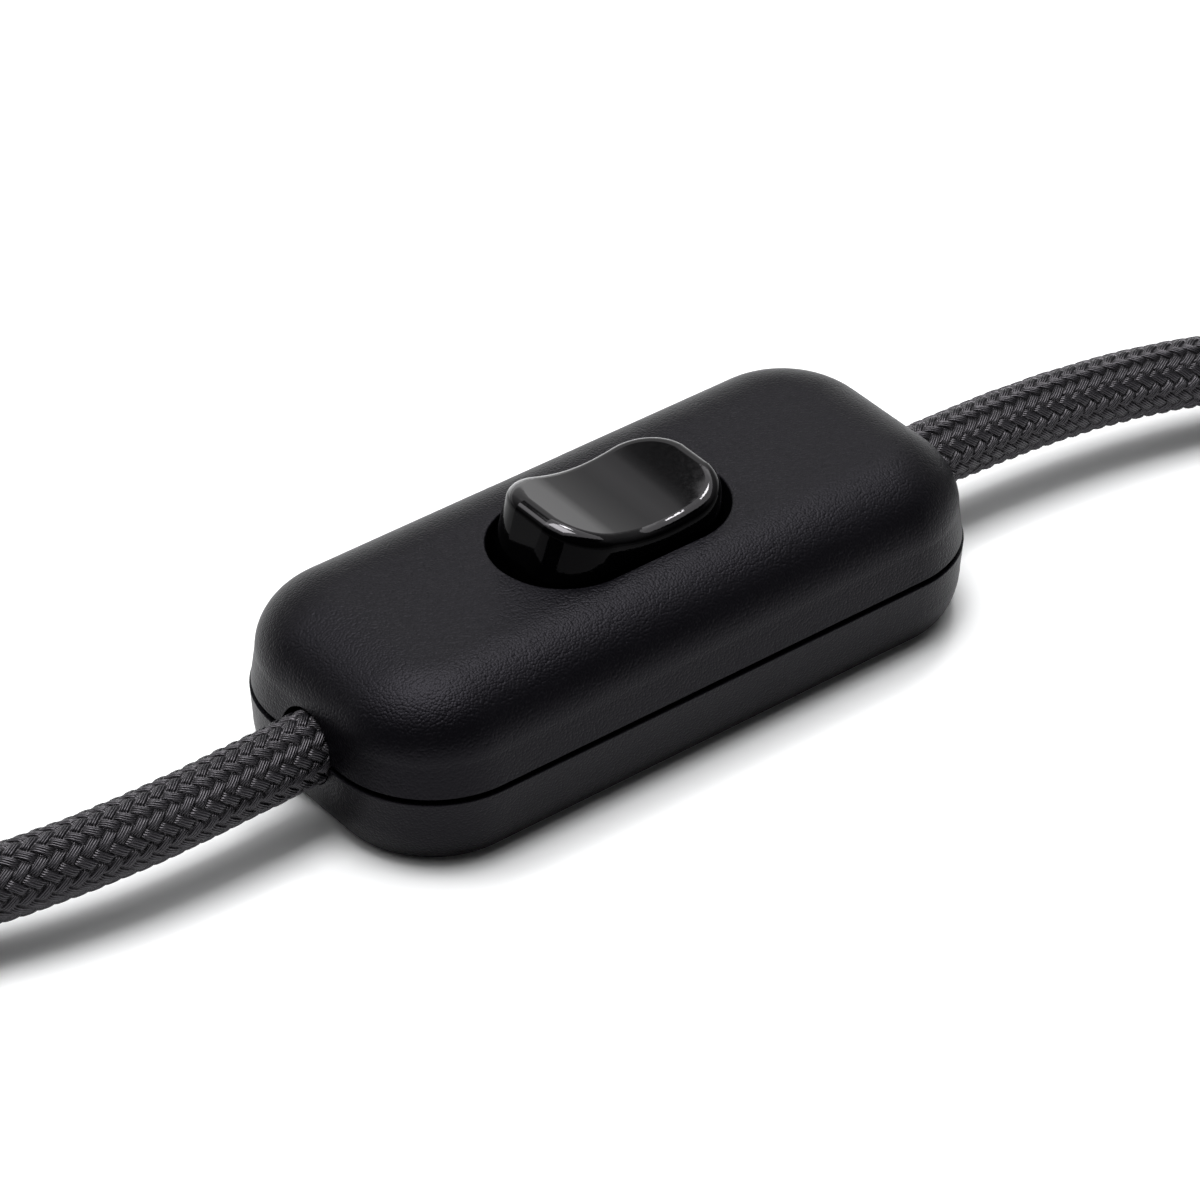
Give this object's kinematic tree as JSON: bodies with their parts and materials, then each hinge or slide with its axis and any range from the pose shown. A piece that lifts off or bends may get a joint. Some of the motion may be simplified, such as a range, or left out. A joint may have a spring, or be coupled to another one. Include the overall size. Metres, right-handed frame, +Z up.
{
  "type": "inline cord switch",
  "caption": "Inline rocker switch in a two-part housing on a round textile lamp cord, with a flat plug at one end and a prepared bare end at the other.",
  "frame": {"origin": "middle of the housing's underside, on the surface that it stands on", "axes": "+X along the cord towards the lamp end, +Z up through the rocker"},
  "size_m": [0.3788, 0.07, 0.0347],
  "materials": {
    "housing": "charcoal black, fine grained moulding, satin",
    "rocker": "polished black",
    "steel": "zinc plated",
    "brass": "plain brass",
    "silver": "silver contact",
    "copper": "bare stranded copper",
    "nylon": "natural nylon",
    "core_brown": "brown insulation",
    "core_blue": "light blue insulation",
    "cord": "braided textile, charcoal black",
    "tie": "black hook and loop tape",
    "plug": "black, moulded, satin",
    "pins": "nickel plated",
    "sleeve": "black",
    "ferrule": "tinned"
  },
  "bodies": {
    "root": {"lower_shell": "housing", "upper_shell": "housing", "shell_screws": "steel", "feed_terminal": "brass", "load_terminal": "brass", "load_contact": "silver", "terminal_screws": "steel", "neutral_terminal": "brass", "neutral_screws": "steel", "cord_clamp_left": "nylon", "cord_clamp_right": "nylon", "clamp_screws": "steel", "core_brown_left": "core_brown", "core_blue_left": "core_blue", "core_brown_right": "core_brown", "core_blue_right": "core_blue", "stripped_ends": "copper", "cord_left": "cord", "hank_left": "cord", "cord_left_tail": "cord", "cord_right": "cord", "hank_right": "cord", "cord_right_tail": "cord", "tie_left": "tie", "tie_right": "tie", "plug_strain_relief": "plug", "plug_body": "plug", "plug_pins": "pins", "pin_sleeves": "sleeve", "end_sleeve": "sleeve", "end_core_brown": "core_brown", "end_core_blue": "core_blue", "end_ferrules": "ferrule"},
    "rocker": {"rocker": "rocker", "plunger_spring": "steel"},
    "plunger": {"plunger": "brass"},
    "seesaw": {"seesaw": "brass", "seesaw_contact": "silver"}
  },
  "joints": [
    {"name": "rocker_tilt", "type": "hinge", "parent": "root", "child": "rocker", "pos_m": [-0.0005, 0, 0.0133], "axis": [0, 1, 0], "range_deg": [-10, 0]},
    {"name": "plunger_slide", "type": "slide", "parent": "rocker", "child": "plunger", "axis": [0.0872, 0, 0.9962], "range_m": [0, 0.001], "stiffness_N_per_m": 600, "springref_m": -0.003, "deforming": ["plunger_spring"]},
    {"name": "seesaw_tilt", "type": "hinge", "parent": "root", "child": "seesaw", "pos_m": [-0.0005, 0, 0.0052], "axis": [0, 1, 0], "range_deg": [0, 12]}
  ],
  "couplings": [
    {"joint": "seesaw_tilt", "follows": "rocker_tilt", "ratio": -1.2}
  ]
}
